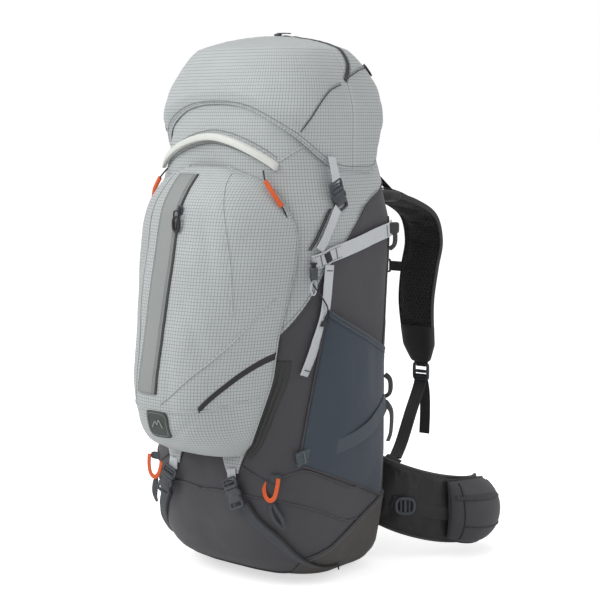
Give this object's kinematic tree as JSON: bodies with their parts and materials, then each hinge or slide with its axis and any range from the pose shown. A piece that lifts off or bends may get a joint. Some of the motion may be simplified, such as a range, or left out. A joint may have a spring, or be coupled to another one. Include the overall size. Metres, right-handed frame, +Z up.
{
  "type": "hiking backpack",
  "caption": "Top-loading trekking backpack with hinged lid, front and side pockets, shoulder harness and hip belt.",
  "frame": {"origin": "middle of the flat base that the pack stands on", "axes": "+Z up, -Y towards the front pocket, +Y towards the wearer, +X to the side of the right-hand hip wing when seen from the front"},
  "size_m": [0.4594, 0.5465, 0.7512],
  "materials": {
    "ripstop": "light grey ripstop nylon with a fine dark grid",
    "bag": "charcoal nylon",
    "base": "coated hard-wearing base fabric",
    "stretch": "slate stretch woven fabric",
    "mesh": "black open mesh over foam",
    "liner": "thin lining fabric",
    "web_dark": "dark woven webbing",
    "web_pale": "pale woven webbing",
    "web_orange": "orange cord and webbing",
    "plastic": "moulded acetal, satin",
    "sheet": "moulded sheet",
    "stay": "satin bar",
    "zip": "coated coil zip",
    "patch": "moulded patch"
  },
  "bodies": {
    "pack": {"main_bag": "bag", "base_panel": "base", "collar": "liner", "back_panel": "mesh", "lumbar_pad": "mesh", "framesheet": "sheet", "frame_stays": "stay", "hydration_sleeve": "liner", "front_pocket": "ripstop", "pocket_flap": "ripstop", "pocket_zip": "zip", "pocket_tape": "zip", "pocket_gussets": "bag", "side_pocket_right": "stretch", "side_pocket_left": "stretch", "upper_strap_right": "web_pale", "upper_strap_left": "web_pale", "lower_strap_right": "stretch", "lower_strap_left": "stretch", "side_webbing_right": "web_pale", "side_webbing_left": "web_pale", "cord_lock_right": "plastic", "cord_lock_left": "plastic", "arch_trim": "web_pale", "badge": "patch", "upper_loops": "web_orange", "bottom_straps": "web_dark", "bottom_buckles": "plastic", "haul_loop": "web_dark", "lid_hinge_straps": "web_dark", "lid_anchor_straps": "web_pale", "lid_female_buckles": "plastic"},
    "lid": {"lid_shell": "ripstop", "lid_floor": "liner", "lid_zip": "zip", "lid_straps": "web_pale", "lid_male_buckles": "plastic"},
    "lid_slider": {"lid_zip_slider": "plastic"},
    "pocket_slider": {"pocket_zip_slider": "plastic"},
    "pocket_pull": {"pocket_zip_pull": "plastic"},
    "shoulder_right": {"shoulder_pad_right": "mesh", "strap_adjuster_right": "plastic", "tail_webbing_right": "web_dark"},
    "shoulder_left": {"shoulder_pad_left": "mesh", "strap_adjuster_left": "plastic", "tail_webbing_left": "web_dark"},
    "sternum": {"sternum_strap": "web_dark", "sternum_buckle": "plastic"},
    "hip_right": {"hip_wing_right": "mesh", "belt_pocket_right": "bag", "belt_webbing_right": "web_dark", "belt_buckle_female": "plastic"},
    "hip_left": {"hip_wing_left": "mesh", "belt_pocket_left": "bag", "belt_webbing_left": "web_dark", "belt_buckle_male": "plastic"},
    "plunger_right": {"cord_plunger_right": "plastic"},
    "plunger_left": {"cord_plunger_left": "plastic"},
    "loop_right": {"gear_loop_right": "web_orange"},
    "loop_left": {"gear_loop_left": "web_orange"}
  },
  "joints": [
    {"name": "lid_hinge", "type": "hinge", "parent": "pack", "child": "lid", "pos_m": [0, 0.11832, 0.6001], "axis": [-1, 0, 0], "range_deg": [0, 90]},
    {"name": "lid_zip_slide", "type": "slide", "parent": "lid", "child": "lid_slider", "axis": [1, 0, 0], "range_m": [-0.05, 0.03]},
    {"name": "pocket_zip_slide", "type": "slide", "parent": "pack", "child": "pocket_slider", "axis": [0, -0.2148, -0.9767], "range_m": [0, 0.173]},
    {"name": "pocket_pull_swing", "type": "hinge", "parent": "pocket_slider", "child": "pocket_pull", "pos_m": [0.001, -0.16483, 0.51499], "axis": [-1, 0, 0], "range_deg": [0, 100]},
    {"name": "shoulder_right_hinge", "type": "hinge", "parent": "pack", "child": "shoulder_right", "pos_m": [0, 0.13204, 0.5215], "axis": [1, 0, 0], "range_deg": [0, 35]},
    {"name": "shoulder_left_hinge", "type": "hinge", "parent": "pack", "child": "shoulder_left", "pos_m": [0, 0.13204, 0.5215], "axis": [1, 0, 0], "range_deg": [0, 35]},
    {"name": "sternum_slide", "type": "slide", "parent": "shoulder_right", "child": "sternum", "axis": [0, -0.1904, -0.9817], "range_m": [-0.015, 0.015]},
    {"name": "hip_right_hinge", "type": "hinge", "parent": "pack", "child": "hip_right", "pos_m": [0.098, 0.1341, 0.06], "axis": [0, 0, -1], "range_deg": [0, 45]},
    {"name": "hip_left_hinge", "type": "hinge", "parent": "pack", "child": "hip_left", "pos_m": [-0.098, 0.1341, 0.06], "axis": [0, 0, 1], "range_deg": [0, 45]},
    {"name": "plunger_right_press", "type": "slide", "parent": "pack", "child": "plunger_right", "axis": [0, 0, -1], "range_m": [0, 0.004], "stiffness_N_per_m": 250, "springref_m": -0.002},
    {"name": "plunger_left_press", "type": "slide", "parent": "pack", "child": "plunger_left", "axis": [0, 0, -1], "range_m": [0, 0.004], "stiffness_N_per_m": 250, "springref_m": -0.002},
    {"name": "gear_loop_right_swing", "type": "hinge", "parent": "pack", "child": "loop_right", "pos_m": [0.108, -0.10677, 0.15124], "axis": [-1, 0, 0], "range_deg": [0, 80]},
    {"name": "gear_loop_left_swing", "type": "hinge", "parent": "pack", "child": "loop_left", "pos_m": [-0.108, -0.10677, 0.15124], "axis": [-1, 0, 0], "range_deg": [0, 80]}
  ],
  "couplings": [
    {"joint": "shoulder_left_hinge", "follows": "shoulder_right_hinge", "ratio": 1}
  ]
}
